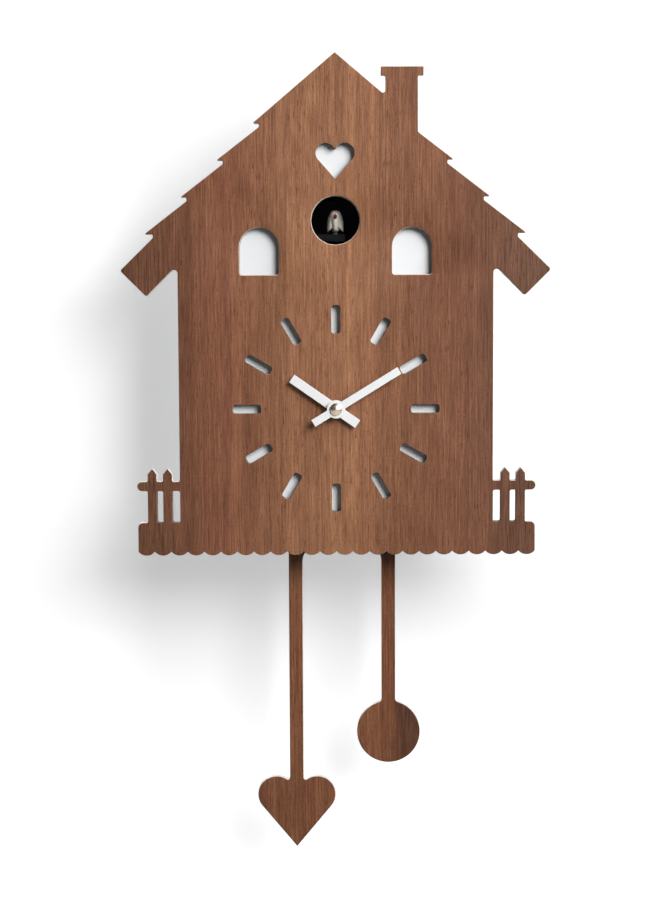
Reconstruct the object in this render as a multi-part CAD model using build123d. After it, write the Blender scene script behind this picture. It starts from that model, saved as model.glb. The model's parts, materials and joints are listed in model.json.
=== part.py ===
from build123d import *
import math
import os

# A wall cuckoo clock: a flat house-shaped front on a white box, two hands over twelve cut hour
# marks, a bird that slides out of a round door, and one forked pendulum that ends in a heart and
# a disc.
#
# The part's frame is in millimetres. +Z is up, the front looks along -Y, and the wall is the
# plane y = 0. The origin is the centre of the round end of the hanger's keyhole. Sketches are
# drawn seen from the front, as (x, height above the dial's centre), and every depth is a y value.

os.makedirs("parts", exist_ok=True)

# --- driving sizes ---------------------------------------------------------------------------
DIAL_Z = -165.0          # the dial's centre, below the keyhole
PANEL_FRONT = -85.0      # the veneered face
VENEER = 0.6
BOARD_BACK = -79.0       # back of the front board, which lies on the backing board
BACKING_BACK = -76.0     # back of the backing board, where the case walls start
CASE_BACK = -1.5         # the case stands this far off the wall, on its hanger and two pads
WALL = 3.0               # case walls and back panel

CASE_HALF = 95.0
CASE_FLOOR = -78.0
EAVE_Z = 105.0

WALL_X = 110.0           # half the width of the house front
APEX_Z = 246.0
TOOTH_X, TOOTH_Z = 57.2, 197.7
TOOTH_STEP = 25.3        # the shingles step down at 45 degrees
TOOTH_CUT = 4.6
TOOTH_RISE = 2.4
SCALLOPS = 24
SCALLOP_R = 7.7
FENCE_X = 139.7
BASE_Z = -100.5          # where the scallops meet each other
BASE_TOP = -79.7
RAIL_LOW, RAIL_HIGH = -57.4, -50.7
RAIL_X = 140.0
POST_HALF = 3.27
POSTS = (118.6, 129.4)
POST_SHOULDER, POST_TIP = -45.4, -41.4

DOOR_Z, DOOR_R = 131.0, 16.8
MARK_IN, MARK_OUT, MARK_W, MARK_R = 52.6, 72.4, 6.15, 2.0

PEND_BACK, PEND_FRONT = -50.0, -55.0
PIVOT_Z = -35.0
ROD_LEFT, ROD_RIGHT, ROD_W = -29.75, 37.3, 10.0
BRIDGE_LOW, BRIDGE_HIGH = -100.3, -86.0
DISC_Z, DISC_R = -237.4, 22.9
HEART_Z, HEART_TIP = -284.0, -323.0
HEART_LOBE_R, HEART_LOBE_X = 13.5, 14.85

RUN = 0.05               # radial clearance of a running fit
HOUR_PIPE_R, MINUTE_R = 2.75, 1.65
HUB_R = 6.35


# --- helpers ---------------------------------------------------------------------------------
def slab(shape, back, front):
    """Extrudes a front-view sketch from y = back forwards to y = front."""
    plane = Plane(origin=(0, back, DIAL_Z), x_dir=(1, 0, 0), z_dir=(0, -1, 0))
    return extrude(plane * shape, back - front, dir=plane.z_dir)


def disc(x, z, radius, back, front):
    return slab(Pos(x, z) * Circle(radius), back, front)


def tube(x, z, outer, inner, back, front):
    return slab(Pos(x, z) * Circle(outer) - Pos(x, z) * Circle(inner), back, front)


def block(x0, x1, back, front, z0, z1):
    middle = Pos((x0 + x1) / 2, (z0 + z1) / 2)
    return slab(middle * Rectangle(x1 - x0, z1 - z0), back, front)


def cross_disc(x0, x1, y, z, radius):
    """A round bar along X, at depth y and height z."""
    plane = Plane(origin=(x0, y, DIAL_Z + z), x_dir=(0, 1, 0), z_dir=(1, 0, 0))
    return extrude(plane * Circle(radius), x1 - x0)


def path_edges(corners):
    """Straight edges through (x, z, radius) corners, with each inner corner rounded."""
    edges = []
    here = Vector(*corners[0][:2])
    for before, corner, after in zip(corners, corners[1:], corners[2:]):
        point = Vector(*corner[:2])
        back = (Vector(*before[:2]) - point).normalized()
        ahead = (Vector(*after[:2]) - point).normalized()
        half = math.radians(back.get_angle(ahead)) / 2
        radius = corner[2]
        if radius <= 0:
            edges.append(Line(here, point))
            here = point
            continue
        reach = radius / math.tan(half)
        middle = (back + ahead).normalized() * (radius / math.sin(half) - radius)
        start, end = point + back * reach, point + ahead * reach
        edges.append(Line(here, start))
        edges.append(ThreePointArc(start, point + middle, end))
        here = end
    edges.append(Line(here, Vector(*corners[-1][:2])))
    return edges


def closed_face(edges):
    return Sketch() + make_face(Wire(edges))


def rounded(width, height, radius):
    return RectangleRounded(width, height, radius)


def round_near(sketch, x, z, radius):
    """Rounds the one sketch corner that lies nearest (x, z)."""
    corner = min(sketch.vertices(), key=lambda v: math.hypot(v.X - x, v.Y - z))
    return fillet(corner, radius)


def heart(lobe_r, lobe_x, drop, cleft_r):
    """A heart about the line between its lobes' centres, with its tip `drop` below."""
    lobe = Vector(lobe_x, 0)
    tip = Vector(0, -drop)
    lean = math.atan2(lobe_x, drop) + math.asin(lobe_r / math.hypot(lobe_x, drop))
    reach = math.sqrt(lobe_x ** 2 + drop ** 2 - lobe_r ** 2)
    flank = Vector(reach * math.sin(lean), reach * math.cos(lean) - drop)
    cleft = Vector(0, math.sqrt((lobe_r + cleft_r) ** 2 - lobe_x ** 2))
    meet = cleft + (lobe - cleft).normalized() * cleft_r
    crown = lobe + Vector(math.sin(0.3), math.cos(0.3)) * lobe_r
    mirror_x = lambda v: Vector(-v.X, v.Y)
    return closed_face([
        Line(tip, flank),
        ThreePointArc(flank, crown, meet),
        ThreePointArc(meet, cleft + Vector(0, -cleft_r), mirror_x(meet)),
        ThreePointArc(mirror_x(meet), mirror_x(crown), mirror_x(flank)),
        Line(mirror_x(flank), tip),
    ])


def gear(teeth, module, turn=0.0, slack=0.14):
    """A spur gear with 20 degree involute flanks, its first tooth turned `turn` degrees."""
    pitch_r = teeth * module / 2
    base_r = pitch_r * math.cos(math.radians(20))
    root_r, tip_r = pitch_r - 1.2 * module, pitch_r + 0.8 * module
    involute = lambda a: math.tan(a) - a
    half_at_pitch = math.pi / (2 * teeth) * (1 - slack)

    def half_angle(radius):
        lean = math.acos(min(1.0, base_r / radius))
        return half_at_pitch + involute(math.radians(20)) - involute(lean)

    flank = [max(base_r, root_r) + (tip_r - max(base_r, root_r)) * k / 3 for k in range(4)]
    side = [(root_r, half_angle(max(base_r, root_r)))] + [(r, half_angle(r)) for r in flank]
    if root_r >= base_r:
        side = side[1:]
    points = []
    for tooth in range(teeth):
        middle = 2 * math.pi * tooth / teeth + math.radians(turn)
        points += [(r, middle - a) for r, a in side]
        points += [(r, middle + a) for r, a in reversed(side)]
    return Polygon(*[(r * math.cos(a), r * math.sin(a)) for r, a in points], align=None)


def screw(x, z, face, reach, head_r=2.4, shank_r=1.25, head=1.4):
    """A pan-head screw driven along -Y from the surface y = face, with a cross in its head."""
    body = disc(x, z, head_r, face + head, face) + disc(x, z, shank_r, face, face - reach)
    for width, height in ((0.7, 2.8), (2.8, 0.7)):
        body -= slab(Pos(x, z) * Rectangle(width, height), face + head, face + head - 0.7)
    return body


def front_screw(x, z, face, reach, head_r=2.4, shank_r=1.25, head=1.4):
    """The same screw, driven along +Y from the front of the surface y = face."""
    body = disc(x, z, head_r, face, face - head) + disc(x, z, shank_r, face + reach, face)
    for width, height in ((0.7, 2.8), (2.8, 0.7)):
        body -= slab(Pos(x, z) * Rectangle(width, height), face - head + 0.7, face - head)
    return body


def write(name, *solids):
    shape = solids[0] if len(solids) == 1 else Compound(children=list(solids))
    export_step(shape, f"parts/{name}.step")


# --- the house front -------------------------------------------------------------------------
def shingle_corners(first, side):
    """The stepped roof edge, outwards from tooth number `first`."""
    corners = []
    for step in range(first, 4):
        x = TOOTH_X + TOOTH_STEP * step
        z = TOOTH_Z - TOOTH_STEP * step
        cut = TOOTH_CUT if step < 3 else 6.2
        corners += [
            (side * x, z, 0.5),
            (side * (x - cut), z, 1.0),
            (side * (x - cut), z - TOOTH_RISE, 0.9),
        ]
    return corners


def wall_corners(side):
    """The eave, the wall and the picket fence, down to the scalloped edge."""
    corners = [
        (150.1, 96.8, 1.7),
        (131.85, 78.6, 1.7),
        (WALL_X, 100.5, 2.4),
        (WALL_X, RAIL_HIGH, 1.0),
    ]
    for post in POSTS:
        corners += [
            (post - POST_HALF, RAIL_HIGH, 1.0),
            (post - POST_HALF, POST_SHOULDER, 0.6),
            (post, POST_TIP, 0.5),
            (post + POST_HALF, POST_SHOULDER, 0.6),
            (post + POST_HALF, RAIL_HIGH, 1.0),
        ]
    corners += [
        (RAIL_X, RAIL_HIGH, 3.3),
        (RAIL_X, RAIL_LOW, 3.3),
        (POSTS[-1] + POST_HALF, RAIL_LOW, 1.0),
        (POSTS[-1] + POST_HALF, BASE_TOP, 1.0),
        (FENCE_X, BASE_TOP, 3.5),
        (FENCE_X, BASE_Z, 0.0),
    ]
    return [(side * x, z, r) for x, z, r in corners]


def house_outline():
    slope = (APEX_Z - TOOTH_Z) / TOOTH_X
    left, right, cap_left, cap_right = 34.8, 57.5, 31.6, 61.4
    cap_low, cap_high = 230.1, 236.1
    root_right = TOOTH_Z - TOOTH_RISE - 0.765 * (right - TOOTH_X + TOOTH_CUT)
    chimney = [
        (left, APEX_Z - slope * left, 1.5),
        (left, cap_low, 1.4),
        (cap_left, cap_low, 0.7),
        (cap_left, cap_high, 0.7),
        (cap_right, cap_high, 0.7),
        (cap_right, cap_low, 0.7),
        (right, cap_low, 1.4),
        (right, root_right, 2.0),
    ]
    right_side = [(0, APEX_Z, 0)] + chimney + shingle_corners(1, 1) + wall_corners(1)
    left_side = [(0, APEX_Z, 0)] + shingle_corners(0, -1) + wall_corners(-1)
    pitch = 2 * FENCE_X / SCALLOPS
    sag = SCALLOP_R - math.sqrt(SCALLOP_R ** 2 - (pitch / 2) ** 2)
    scallops = []
    for i in range(SCALLOPS):
        x = FENCE_X - i * pitch
        scallops.append(ThreePointArc((x, BASE_Z), (x - pitch / 2, BASE_Z - sag), (x - pitch, BASE_Z)))
    return closed_face(path_edges(right_side) + scallops + path_edges(left_side))


def fence_gaps():
    """The openings under each fence's rail."""
    gaps = Sketch()
    edges = ((WALL_X, POSTS[0] - POST_HALF), (POSTS[0] + POST_HALF, POSTS[1] - POST_HALF))
    for side in (-1, 1):
        for inner, outer in edges:
            middle = Pos(side * (inner + outer) / 2, (RAIL_LOW + BASE_TOP) / 2)
            gaps += middle * rounded(outer - inner, RAIL_LOW - BASE_TOP, 1.3)
    return gaps


def windows():
    width, low, spring = 27.2, 93.5, 112.4
    arch = closed_face(path_edges([
        (width / 2, spring, 0), (width / 2, low, 1.6), (-width / 2, low, 1.6), (-width / 2, spring, 0),
    ]) + [ThreePointArc((-width / 2, spring), (0, spring + width / 2), (width / 2, spring))])
    return Pos(-53.2, 0) * arch + Pos(53.2, 0) * arch


def hour_marks():
    marks = Sketch()
    for hour in range(12):
        middle = Rot(0, 0, 30 * hour) * Pos(0, (MARK_IN + MARK_OUT) / 2)
        marks += middle * rounded(MARK_W, MARK_OUT - MARK_IN, MARK_R)
    return marks


def front_sketch(shaft_r):
    face = house_outline() - fence_gaps() - windows() - hour_marks()
    face -= Pos(0, 177.3) * heart(6.77, 6.7, 17.8, 1.2)
    face -= Pos(0, DOOR_Z) * Circle(DOOR_R)
    return face - Circle(shaft_r)


front = front_sketch(4.6)
veneer_back = PANEL_FRONT + VENEER
front_board = slab(front, BOARD_BACK, veneer_back) - disc(0, 0, 8.0, BOARD_BACK, BOARD_BACK - 4.0)
write("front_board", front_board)
write("front_veneer", slab(front, veneer_back, PANEL_FRONT))


# --- the case --------------------------------------------------------------------------------
GABLE_Z = EAVE_Z + CASE_HALF
INNER = CASE_HALF - WALL
INNER_EAVE = GABLE_Z - WALL * math.sqrt(2) - INNER
INNER_GABLE = GABLE_Z - WALL * math.sqrt(2)
MOVE_X, MOVE_LOW, MOVE_HIGH = 52.0, -64.0, 62.0     # the movement's outline
STEM_W = 12.0


def gable_face(half, floor, eave, gable):
    return Polygon((-half, floor), (half, floor), (half, eave), (0, gable), (-half, eave), align=None)


backing = gable_face(CASE_HALF, CASE_FLOOR, EAVE_Z, GABLE_Z)
backing -= Circle(4.2)
backing -= Pos(0, DOOR_Z) * Circle(DOOR_R)
write("backing_board", slab(backing, BACKING_BACK, BOARD_BACK))

for side, name in ((-1, "left"), (1, "right")):
    wall = Polygon(
        (side * INNER, CASE_FLOOR + WALL), (side * CASE_HALF, CASE_FLOOR + WALL),
        (side * CASE_HALF, EAVE_Z), (side * INNER, INNER_EAVE), align=None)
    write(f"case_side_{name}", slab(wall, CASE_BACK, BACKING_BACK))
    roof = Polygon(
        (side * CASE_HALF, EAVE_Z), (0, GABLE_Z), (0, INNER_GABLE), (side * INNER, INNER_EAVE),
        align=None)
    write(f"case_roof_{name}", slab(roof, CASE_BACK, BACKING_BACK))

case_floor = block(-CASE_HALF, CASE_HALF, CASE_BACK, BACKING_BACK, CASE_FLOOR, CASE_FLOOR + WALL)
case_floor -= block(-12.5, 12.5, -42.0, -58.0, CASE_FLOOR, CASE_FLOOR + WALL)
case_floor -= Pos(60, -20, DIAL_Z + CASE_FLOOR + WALL / 2) * Cylinder(3.0, WALL)
write("case_floor", case_floor)

BLOCK_W = 12.0
corners = [(s * (INNER - BLOCK_W / 2), z) for s in (-1, 1) for z in (CASE_FLOOR + WALL + 6.0, 90.0)]
blocks = []
for x, z in corners:
    glue_block = block(x - BLOCK_W / 2, x + BLOCK_W / 2, -4.5, -24.5, z - 6.0, z + 6.0)
    blocks.append(glue_block - disc(x, z, 1.25, -4.5, -14.5))
write("corner_blocks", *blocks)

PANEL_BACK, PANEL_INNER = CASE_BACK, CASE_BACK - WALL
fit = 0.2
back_sketch = gable_face(INNER - fit, CASE_FLOOR + WALL + fit, INNER_EAVE - fit, INNER_GABLE - 2 * fit)
back_sketch -= Pos(0, (MOVE_HIGH - 72.0) / 2) * rounded(2 * MOVE_X + 1.0, MOVE_HIGH + 73.0, 5.0)
keyhole_z = -DIAL_Z
pocket = Pos(0, keyhole_z + 4.0) * rounded(11.5, 19.5, 5.7)
back_sketch -= pocket
for x, z in corners:
    back_sketch -= Pos(x, z) * Circle(1.35)
HANGER_SCREWS = ((-10.5, keyhole_z - 8.0), (10.5, keyhole_z - 8.0))
for x, z in HANGER_SCREWS:
    back_sketch -= Pos(x, z) * Circle(1.35)
write("back_panel", slab(back_sketch, PANEL_BACK, PANEL_INNER))
write("back_panel_screws", *[
    screw(x, z, PANEL_BACK, 12.0, head_r=2.6, head=1.2) for x, z in corners])

hanger_sketch = Pos(0, keyhole_z - 1.0) * rounded(28.0, 25.0, 3.0) - Pos(0, keyhole_z) * Circle(4.5)
hanger_sketch -= Pos(0, keyhole_z + 4.0) * Rectangle(4.0, 8.0)
hanger_sketch -= Pos(0, keyhole_z + 8.0) * Circle(2.0)
hanger = slab(hanger_sketch, 0.0, CASE_BACK)
hanger_screws = []
for x, z in HANGER_SCREWS:
    sink = Pos(x, -0.65, DIAL_Z + z) * Rot(-90, 0, 0) * Cone(1.35, 2.65, 1.3)
    hanger -= sink + disc(x, z, 1.35, 0.0, CASE_BACK)
    head = Pos(x, -0.65, DIAL_Z + z) * Rot(-90, 0, 0) * Cone(1.25, 2.55, 1.3)
    driven = head + disc(x, z, 1.25, -1.2, -12.5)
    hanger_screws.append(driven - slab(Pos(x, z) * Rectangle(0.7, 3.0), 0.0, -0.7))
write("hanger_plate", hanger)
write("hanger_screws", *hanger_screws)

hanger_block = block(-15.0, 15.0, PANEL_INNER, -16.0, keyhole_z - 13.0, keyhole_z + 13.0)
hanger_block -= slab(pocket, PANEL_INNER, -12.0)
for x, z in HANGER_SCREWS:
    hanger_block -= disc(x, z, 1.25, PANEL_INNER, -12.5)
write("hanger_block", hanger_block)

write("wall_pads", *[disc(x, -66.0, 6.0, 0.0, CASE_BACK) for x in (-66.0, 66.0)])

lens = Pos(60, -20, DIAL_Z + CASE_FLOOR + 1.0) * Cylinder(2.9, 8.0)
lens += Pos(60, -20, DIAL_Z + CASE_FLOOR - 0.6) * Cylinder(4.2, 1.2)
lens += Pos(60, -20, DIAL_Z + CASE_FLOOR - 3.0) * Sphere(2.9)
write("light_sensor", lens)


# --- the movement's housing ------------------------------------------------------------------
SHELL_BACK = -30.0       # where the front shell and the rear cover meet
SHELL_FRONT = -75.9
SHELL_LOW = -26.0
SKIN = 2.0
COVER_BACK = -3.5
STUD_X = 14.4            # centre distance of the motion work
MOTOR_X = -18.0          # centre distance of the motor's pinion
TRAIN_BACK, TRAIN_FRONT = -58.0, -60.0

shell_mid = (SHELL_LOW + MOVE_HIGH) / 2
shell = slab(Pos(0, shell_mid) * rounded(2 * MOVE_X, MOVE_HIGH - SHELL_LOW, 4.0), SHELL_BACK, SHELL_FRONT)
shell -= slab(
    Pos(0, shell_mid) * rounded(2 * MOVE_X - 2 * SKIN, MOVE_HIGH - SHELL_LOW - 2 * SKIN, 2.5),
    SHELL_BACK, SHELL_FRONT + SKIN)
bushing_r = 4.1
shell += disc(0, 0, bushing_r, SHELL_FRONT + SKIN + 2.5, -84.6)
shell -= disc(0, 0, HOUR_PIPE_R + RUN, SHELL_BACK, -84.6)
shell += disc(STUD_X, 0, 1.0, -64.2, SHELL_FRONT + SKIN)
POSTS_XZ = ((-36.0, 16.0), (-36.0, -16.0), (28.0, 16.0), (28.0, -16.0))
for x, z in POSTS_XZ:
    shell += tube(x, z, 3.0, 1.0, TRAIN_FRONT, SHELL_FRONT + SKIN)
CASE_SCREWS = ((-44.0, 54.0), (44.0, 54.0), (-44.0, -18.0), (44.0, -18.0))
for x, z in CASE_SCREWS:
    shell += tube(x, z, 3.2, 1.1, SHELL_BACK, SHELL_FRONT + SKIN)
write("movement_front_shell", shell)

cover_mid = (MOVE_LOW + MOVE_HIGH) / 2
cover = slab(Pos(0, cover_mid) * rounded(2 * MOVE_X, MOVE_HIGH - MOVE_LOW, 4.0), COVER_BACK, SHELL_BACK)
inner_mid = (SHELL_LOW + MOVE_HIGH) / 2 + SKIN / 2
cover -= slab(
    Pos(0, inner_mid) * rounded(2 * MOVE_X - 2 * SKIN, MOVE_HIGH - SHELL_LOW - SKIN, 2.5),
    COVER_BACK - SKIN, SHELL_BACK)
cover -= block(-MOVE_X + SKIN, MOVE_X - SKIN, -24.0, SHELL_BACK + SKIN, MOVE_LOW + SKIN, SHELL_LOW + 4.0)
BAY_X, BAY_LOW, BAY_HIGH, BAY_FLOOR = 27.4, -60.5, -13.0, -21.5
cover += block(-BAY_X - 1.5, BAY_X + 1.5, COVER_BACK, BAY_FLOOR - 1.5, BAY_LOW - 1.0, BAY_HIGH + 1.5)
cover -= block(-BAY_X, BAY_X, COVER_BACK, BAY_FLOOR, BAY_LOW, BAY_HIGH)
KNOB_R = 8.5
cover += disc(0, 0, KNOB_R + 2.2, COVER_BACK, -13.5)
cover -= disc(0, 0, KNOB_R + 0.7, COVER_BACK, -12.0)
cover -= disc(0, 0, MINUTE_R + RUN, COVER_BACK, -13.5)
for x, z in CASE_SCREWS:
    cover += disc(x, z, 3.2, COVER_BACK - SKIN, SHELL_BACK)
    cover -= disc(x, z, 1.25, COVER_BACK, SHELL_BACK)
    cover -= disc(x, z, 2.8, COVER_BACK, -9.0)
SPEAKER_X, SPEAKER_Z, SPEAKER_R = 24.0, 34.0, 23.0
for ring, count in ((0.0, 1), (7.0, 6), (14.0, 12)):
    for i in range(count):
        turn = 2 * math.pi * i / count
        cover -= disc(SPEAKER_X + ring * math.cos(turn), SPEAKER_Z + ring * math.sin(turn), 2.0,
                      COVER_BACK, COVER_BACK - SKIN)
VOLUME = (-32.0, 42.0)
SWITCH = (-32.0, 22.0)
BUTTON = (-32.0, 5.0)
cover -= disc(*VOLUME, 7.6, COVER_BACK, COVER_BACK - SKIN)
cover -= slab(Pos(*SWITCH) * rounded(13.0, 5.0, 1.0), COVER_BACK, COVER_BACK - SKIN)
cover -= disc(*BUTTON, 3.6, COVER_BACK, COVER_BACK - SKIN)
write("movement_rear_cover", cover)
write("movement_screws", *[
    screw(x, z, -9.0, 30.0, head_r=2.5, shank_r=1.1, head=1.6) for x, z in CASE_SCREWS])

write("shaft_nut", slab(RegularPolygon(6.4, 6) - Circle(bushing_r), BOARD_BACK, BOARD_BACK - 3.2))

train = slab(Pos(-4.0, 0) * rounded(71.0, 40.0, 4.0), TRAIN_BACK, TRAIN_FRONT)
train -= disc(0, 0, MINUTE_R + RUN, TRAIN_BACK, TRAIN_FRONT)
train -= disc(MOTOR_X, 0, 3.9, TRAIN_BACK, TRAIN_FRONT)
for x, z in POSTS_XZ:
    train -= disc(x, z, 1.1, TRAIN_BACK, TRAIN_FRONT)
write("train_plate", train)
write("train_screws", *[
    screw(x, z, TRAIN_BACK, 8.0, head_r=2.0, shank_r=1.0, head=1.2) for x, z in POSTS_XZ])


# --- the going train and the hands -----------------------------------------------------------
HOUR_HAND, MINUTE_HAND, HAND_T = -88.5, -91.3, 0.8
HOUR_TURN, MINUTE_TURN = 55.0, -58.5

write("clock_motor", disc(MOTOR_X, 0, 12.0, -44.0, TRAIN_BACK) - disc(MOTOR_X, 0, 0.8, -50.0, TRAIN_BACK))
motor_pinion = slab(Pos(MOTOR_X, 0) * gear(12, 0.5, 0.0), -61.0, -64.0)
motor_pinion += disc(MOTOR_X, 0, 0.75, -51.0, -64.6)
write("motor_pinion", motor_pinion)

centre = slab(gear(60, 0.5, 3.0) - Circle(MINUTE_R), -61.5, -63.5)
for i in range(4):
    spoke = Rot(0, 0, 45 + 90 * i) * Pos(8.2, 0)
    centre -= slab(spoke * Circle(3.4), -61.5, -63.5)
write("centre_wheel", centre)

arbor = disc(0, 0, MINUTE_R, -3.6, MINUTE_HAND - HAND_T)
arbor += slab(gear(12, 0.6, 0.0), -65.0, -67.5)
write("minute_arbor", arbor)

wheel = slab(Pos(STUD_X, 0) * gear(36, 0.6, 5.0), -65.2, -67.3)
wheel += slab(Pos(STUD_X, 0) * gear(10, 0.576, 0.0), -67.3, -70.8)
wheel -= disc(STUD_X, 0, 1.0 + RUN, -65.2, -70.8)
write("minute_wheel", wheel)

hour = slab(gear(40, 0.576, 4.5), -68.5, -70.5) + disc(0, 0, HOUR_PIPE_R, -70.5, HOUR_HAND - HAND_T)
hour -= disc(0, 0, MINUTE_R + RUN, -68.5, HOUR_HAND - HAND_T)
write("hour_wheel", hour)


def hand(tip, tail, width, bore, turn, back):
    bar = Pos(0, (tip - tail) / 2) * Rectangle(width, tip + tail) + Circle(HUB_R)
    return slab(Rot(0, 0, turn) * (bar - Circle(bore)), back, back - HAND_T)


write("hour_hand", hand(37.6, 18.3, 6.4, HOUR_PIPE_R, HOUR_TURN, HOUR_HAND))
write("minute_hand", hand(51.6, 18.7, 5.4, MINUTE_R, MINUTE_TURN, MINUTE_HAND))
cap_back = MINUTE_HAND - HAND_T
cap = disc(0, 0, 4.25, cap_back, cap_back - 2.6)
write("hand_cap", chamfer(cap.faces().sort_by(Axis.Y)[0].edges(), 1.6))

knob = disc(0, 0, KNOB_R, -3.6 + 1.8, -11.0)
for i in range(18):
    notch = Rot(0, 0, 20 * i) * Pos(KNOB_R + 0.3, 0) * Circle(0.8)
    knob -= slab(notch, -3.6 + 1.8, -11.0)
knob -= disc(0, 0, MINUTE_R, -3.6, -11.0)
write("set_knob", knob)


# --- electrics -------------------------------------------------------------------------------
board = Pos(0, 18.0) * rounded(96.0, 78.0, 3.0) - Circle(3.5)
for x, z in CASE_SCREWS:
    board -= Pos(x, z) * Circle(3.6)
write("circuit_board", slab(board, -38.0, -39.6))

CELL_R, CELL_LENGTH, CELL_Y = 7.15, 50.2, -13.6
CELL_ZS = [-20.9, -36.6, -52.3]
cells, contacts = [], []
for i, z in enumerate(CELL_ZS):
    way = 1 if i % 2 == 0 else -1
    can = cross_disc(-way * CELL_LENGTH / 2, way * (CELL_LENGTH / 2 - 1.2), CELL_Y, z, CELL_R)
    nub = cross_disc(way * (CELL_LENGTH / 2 - 1.2), way * CELL_LENGTH / 2, CELL_Y, z, 2.7)
    cells.append(can + nub)
    for end in (-1, 1):
        plate = block(*sorted((end * (BAY_X - 0.4), end * BAY_X)), -8.0, -19.0, z - 5.0, z + 5.0)
        stub = cross_disc(end * CELL_LENGTH / 2, end * (BAY_X - 0.4), CELL_Y, z, 2.4)
        contacts.append(plate + stub)
write("battery_cells", *cells)
write("battery_contacts", *contacts)

door = block(-30.0, 30.0, -1.9, -3.4, BAY_LOW - 1.5, BAY_HIGH + 1.2)
for i in range(5):
    z = BAY_HIGH - 6.0 - 2.4 * i
    door -= block(-9.0, 9.0, -1.9, -2.4, z - 0.6, z + 0.6)
write("battery_door", door)

basket = disc(SPEAKER_X, SPEAKER_Z, SPEAKER_R, -5.6, -8.0)
basket -= disc(SPEAKER_X, SPEAKER_Z, 20.0, -5.6, -8.0)
basket += disc(SPEAKER_X, SPEAKER_Z, 20.8, -8.0, -11.0) - disc(SPEAKER_X, SPEAKER_Z, 19.8, -8.0, -10.0)
basket += disc(SPEAKER_X, SPEAKER_Z, 13.0, -11.0, -18.0)
write("speaker_frame", basket)
cone_plane = Pos(SPEAKER_X, -7.6, DIAL_Z + SPEAKER_Z) * Rot(-90, 0, 0)
cone = cone_plane * (Cone(6.0, 19.0, 3.0) - Pos(0, 0, 0.8) * Cone(6.0, 19.0, 3.0))
write("speaker_cone", cone)

volume = disc(*VOLUME, 7.2, -2.2, -6.5)
for i in range(16):
    volume -= slab(Pos(*VOLUME) * Rot(0, 0, 22.5 * i) * Pos(7.5, 0) * Circle(0.7), -2.2, -6.5)
volume -= block(VOLUME[0] - 0.5, VOLUME[0] + 0.5, -2.2, -2.9, VOLUME[1] + 1.5, VOLUME[1] + 6.0)
write("volume_knob", volume)
slider = block(SWITCH[0] - 5.5, SWITCH[0] - 0.5, -2.4, -8.0, SWITCH[1] - 2.0, SWITCH[1] + 2.0)
write("mode_switch", slider)
write("demo_button", disc(*BUTTON, 3.4, -2.2, -8.0) + disc(*BUTTON, 4.4, -6.4, -8.0))


# --- the bird and its drive ------------------------------------------------------------------
CHAMBER_X, CHAMBER_LOW, CHAMBER_HIGH, CHAMBER_BACK = 21.0, 110.0, 151.5, -8.0
BIRD_TRAVEL = 28.0
RACK_Z, RACK_MODULE = 104.0, 0.8
RACK_FRONT, RACK_BACK = BACKING_BACK + BIRD_TRAVEL + 1.0, -11.0
GEAR_Y = -42.0
GEAR_Z = RACK_Z - 15 * RACK_MODULE / 2
PINION_Z = GEAR_Z - 12.5
CAR_FRONT, CAR_BACK = -66.0, -30.0

chamber = block(-CHAMBER_X, CHAMBER_X, CHAMBER_BACK, BACKING_BACK, CHAMBER_LOW, CHAMBER_HIGH)
chamber -= block(-CHAMBER_X + 2, CHAMBER_X - 2, CHAMBER_BACK - 2, BACKING_BACK, CHAMBER_LOW + 2, CHAMBER_HIGH - 2)
chamber -= block(-1.7, 1.7, CHAMBER_BACK - 2, BACKING_BACK, CHAMBER_LOW, CHAMBER_LOW + 2)
for x0, x1 in ((-7.5, -5.5), (7.5, 9.5)):
    chamber += block(x0, x1, GEAR_Y + 12.0, GEAR_Y - 12.0, PINION_Z - 10.0, CHAMBER_LOW)
chamber -= cross_disc(-7.5, 9.5, GEAR_Y, GEAR_Z, 1.0 + RUN)
chamber -= cross_disc(7.5, 9.5, GEAR_Y, PINION_Z, 3.6)
write("bird_housing", chamber)


def rack_bar():
    """The toothed bar under the carriage: teeth point down, along Y."""
    pitch = math.pi * RACK_MODULE
    bar = block(-2.6, 2.6, RACK_BACK, RACK_FRONT, RACK_Z + 1.0, CHAMBER_LOW - 0.4)
    plane = Plane(origin=(-2.6, 0, DIAL_Z), x_dir=(0, 1, 0), z_dir=(1, 0, 0))
    first = math.ceil((RACK_FRONT + 0.9 - GEAR_Y) / pitch - 0.5)
    last = math.floor((RACK_BACK - 0.9 - GEAR_Y) / pitch - 0.5)
    low, high = RACK_Z - 0.8 * RACK_MODULE, RACK_Z + 1.2 * RACK_MODULE
    for i in range(first, last + 1):
        y = GEAR_Y + (i + 0.5) * pitch
        tooth = [
            (y - 0.86, high + 0.1), (y - 0.25, low), (y + 0.25, low), (y + 0.86, high + 0.1),
        ]
        bar += extrude(plane * Polygon(*tooth, align=None), 5.2)
    return bar


# The shelf passes out through the round door; the leg and the web under it stay behind the boards.
carriage = block(-16.0, 7.0, CAR_BACK, CAR_FRONT, CHAMBER_LOW + 7.2, CHAMBER_LOW + 12.3)
carriage &= disc(0, DOOR_Z, DOOR_R - 1.0, CAR_BACK, CAR_FRONT)
carriage += block(-9.0, -6.0, CAR_BACK, RACK_FRONT, CHAMBER_LOW + 2.3, CHAMBER_LOW + 7.4)
carriage += block(-1.4, 1.4, CAR_BACK, RACK_FRONT, CHAMBER_LOW - 0.4, CHAMBER_LOW + 7.4)
carriage += rack_bar()
BIRD_Y = -60.0
carriage -= Pos(0, BIRD_Y, DIAL_Z + CHAMBER_LOW + 10.3) * Cylinder(1.0, 4.0)
write("bird_carriage", carriage)
write("bird_post", Pos(0, BIRD_Y, DIAL_Z + CHAMBER_LOW + 11.65) * Cylinder(1.0, 6.7))

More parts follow.
